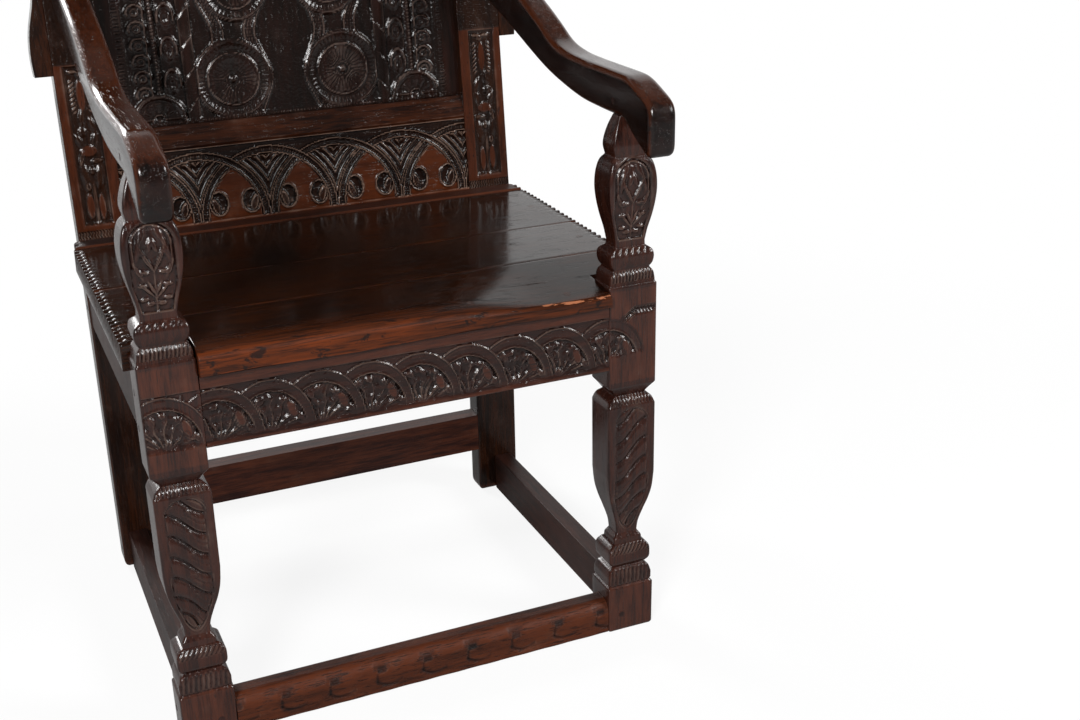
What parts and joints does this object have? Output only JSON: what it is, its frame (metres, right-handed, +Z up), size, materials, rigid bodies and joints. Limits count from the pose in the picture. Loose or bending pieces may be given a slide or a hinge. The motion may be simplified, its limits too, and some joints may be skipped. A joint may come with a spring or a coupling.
{
  "type": "wainscot chair",
  "caption": "Joined oak armchair with a raked panelled back, carved rails and panel, board seat, swept arms on vase-shaped posts, and low stretchers.",
  "frame": {"origin": "on the floor, under the middle of the chair's bounding box", "axes": "+Z up, +X to the right of a viewer in front of the chair, the chair faces -Y"},
  "size_m": [0.592, 0.5538, 1.08],
  "materials": {
    "polished_oak": "wax-polished near-black oak, worn red-brown on edges",
    "carved_oak": "carved oak, dark in the cuts and worn on the ridges",
    "seat_oak": "worn polished oak boards with dark grain",
    "plain_oak": "plain dark oak, low polish",
    "peg_oak": "split oak pegs, dark end grain"
  },
  "bodies": {
    "root": {"front_post_right": "polished_oak", "front_post_left": "polished_oak", "rear_post_right": "polished_oak", "rear_post_left": "polished_oak", "arm_right": "polished_oak", "arm_left": "polished_oak", "back_bracket_right": "polished_oak", "back_bracket_left": "polished_oak", "back_top_rail": "polished_oak", "crest_rail": "polished_oak", "front_seat_rail": "carved_oak", "front_stretcher": "carved_oak", "back_bottom_rail": "carved_oak", "back_panel": "carved_oak", "seat_board_front": "seat_oak", "seat_board_middle": "seat_oak", "seat_board_back": "seat_oak", "seat_back_slip": "seat_oak", "rear_seat_rail": "plain_oak", "side_seat_rail_right": "plain_oak", "side_seat_rail_left": "plain_oak", "rear_stretcher": "plain_oak", "side_stretcher_right": "plain_oak", "side_stretcher_left": "plain_oak", "front_rail_pegs": "peg_oak", "front_stretcher_pegs": "peg_oak", "side_rail_pegs": "peg_oak", "side_stretcher_pegs": "peg_oak", "rear_rail_pegs": "peg_oak", "rear_stretcher_pegs": "peg_oak", "back_rail_pegs": "peg_oak", "crest_pegs": "peg_oak", "bracket_pegs": "peg_oak", "arm_post_pegs": "peg_oak", "arm_stile_pegs": "peg_oak", "seat_pegs": "peg_oak"}
  },
  "joints": []
}
